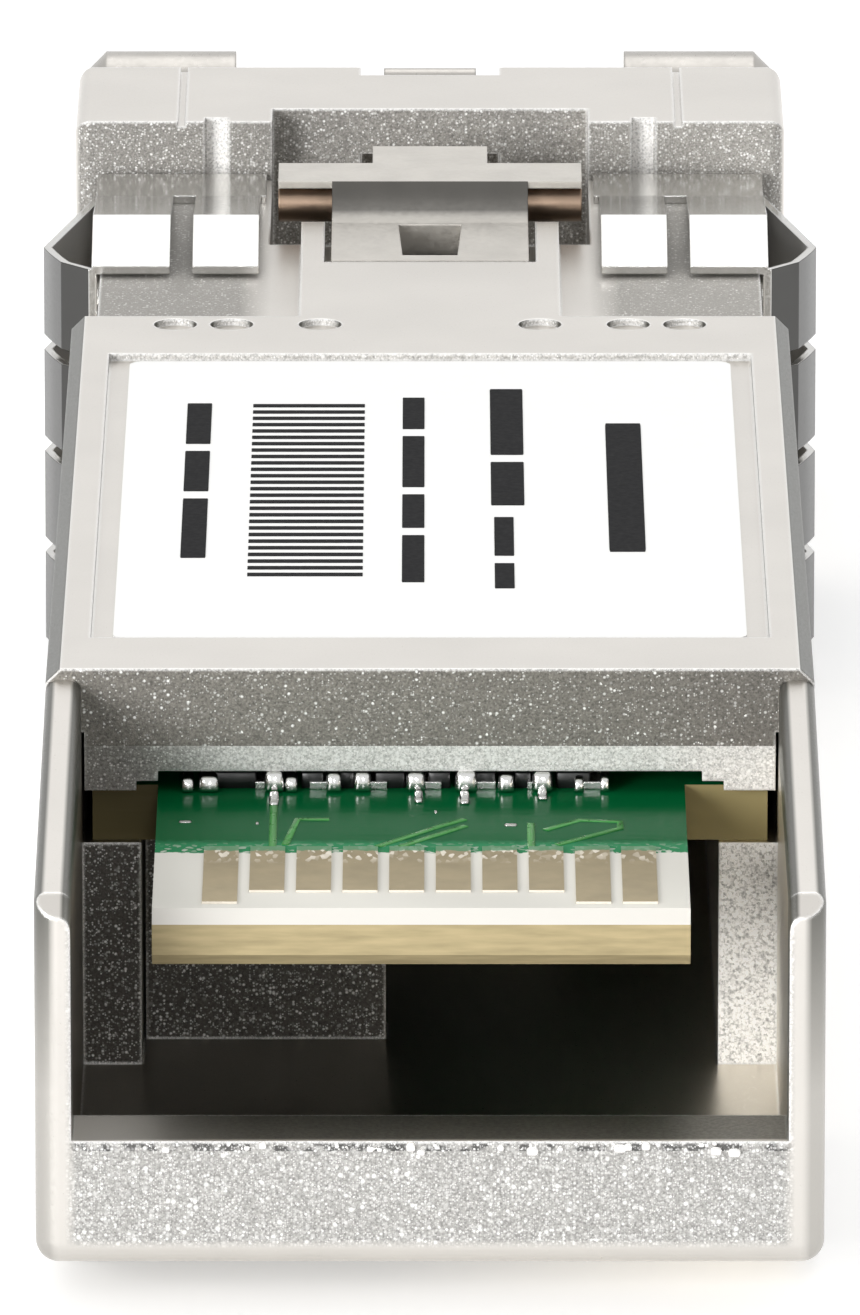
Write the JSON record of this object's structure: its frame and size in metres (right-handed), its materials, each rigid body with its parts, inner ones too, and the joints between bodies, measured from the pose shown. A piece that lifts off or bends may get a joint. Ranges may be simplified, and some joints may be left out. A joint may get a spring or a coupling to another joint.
{
  "type": "sfp plus transceiver",
  "caption": "Pluggable optical network transceiver: cast shell with card edge, spring collar, duplex ports, and a bail handle that draws in the latch.",
  "frame": {"origin": "centre of the bounding box in plan, on the flat heat-sink face that it rests on", "axes": "+Y from the host end towards the bail, +Z out of the label face, X across the width"},
  "size_m": [0.0148, 0.0564, 0.0092],
  "materials": {
    "cast_metal": "nickel-plated die casting, satin",
    "label_paper": "matt white",
    "board_green": "solder mask on glass-epoxy",
    "contact_gold": "thin gold plating, satin",
    "chip_black": "moulded epoxy",
    "tinned_lead": "tin plating",
    "gap_filler": "soft silicone",
    "capacitor_ceramic": "fired ceramic",
    "sleeve_steel": "turned",
    "can_metal": "plated",
    "flex_amber": "polyimide film",
    "collar_steel": "stamped spring sheet",
    "lever_metal": "nickel-plated casting",
    "pin_bronze": "dull drawn wire",
    "bail_metal": "plain dark coating"
  },
  "bodies": {
    "housing": {"base_housing": "cast_metal", "top_cover": "cast_metal", "label": "label_paper", "circuit_board": "board_green", "upper_contact_pads": "contact_gold", "lower_contact_pads": "contact_gold", "interface_chip": "chip_black", "interface_chip_leads": "tinned_lead", "controller_chip": "chip_black", "driver_chip": "chip_black", "thermal_pad": "gap_filler", "chip_capacitors": "capacitor_ceramic", "transmit_sleeve": "sleeve_steel", "transmit_can": "can_metal", "transmit_header": "can_metal", "transmit_flex": "flex_amber", "receive_sleeve": "sleeve_steel", "receive_can": "can_metal", "receive_header": "can_metal", "receive_flex": "flex_amber", "optics_clamp": "sleeve_steel", "emi_collar": "collar_steel", "latch_spring": "collar_steel", "lever_pivot_pin": "pin_bronze"},
    "bail": {"bail_handle": "bail_metal", "bail_axle": "sleeve_steel"},
    "latch": {"latch_lever": "lever_metal", "lever_cross_pin": "pin_bronze"}
  },
  "joints": [
    {"name": "bail_swing", "type": "hinge", "parent": "housing", "child": "bail", "pos_m": [0, 0.02365, 0.00815], "axis": [1, 0, 0], "range_deg": [0, 90]},
    {"name": "latch_tilt", "type": "hinge", "parent": "housing", "child": "latch", "pos_m": [0, 0.01005, 0.0068], "axis": [-1, 0, 0], "range_deg": [0, 3.5], "deforming": ["latch_spring"]}
  ],
  "couplings": [
    {"joint": "latch_tilt", "follows": "bail_swing", "ratio": 0.038889}
  ]
}
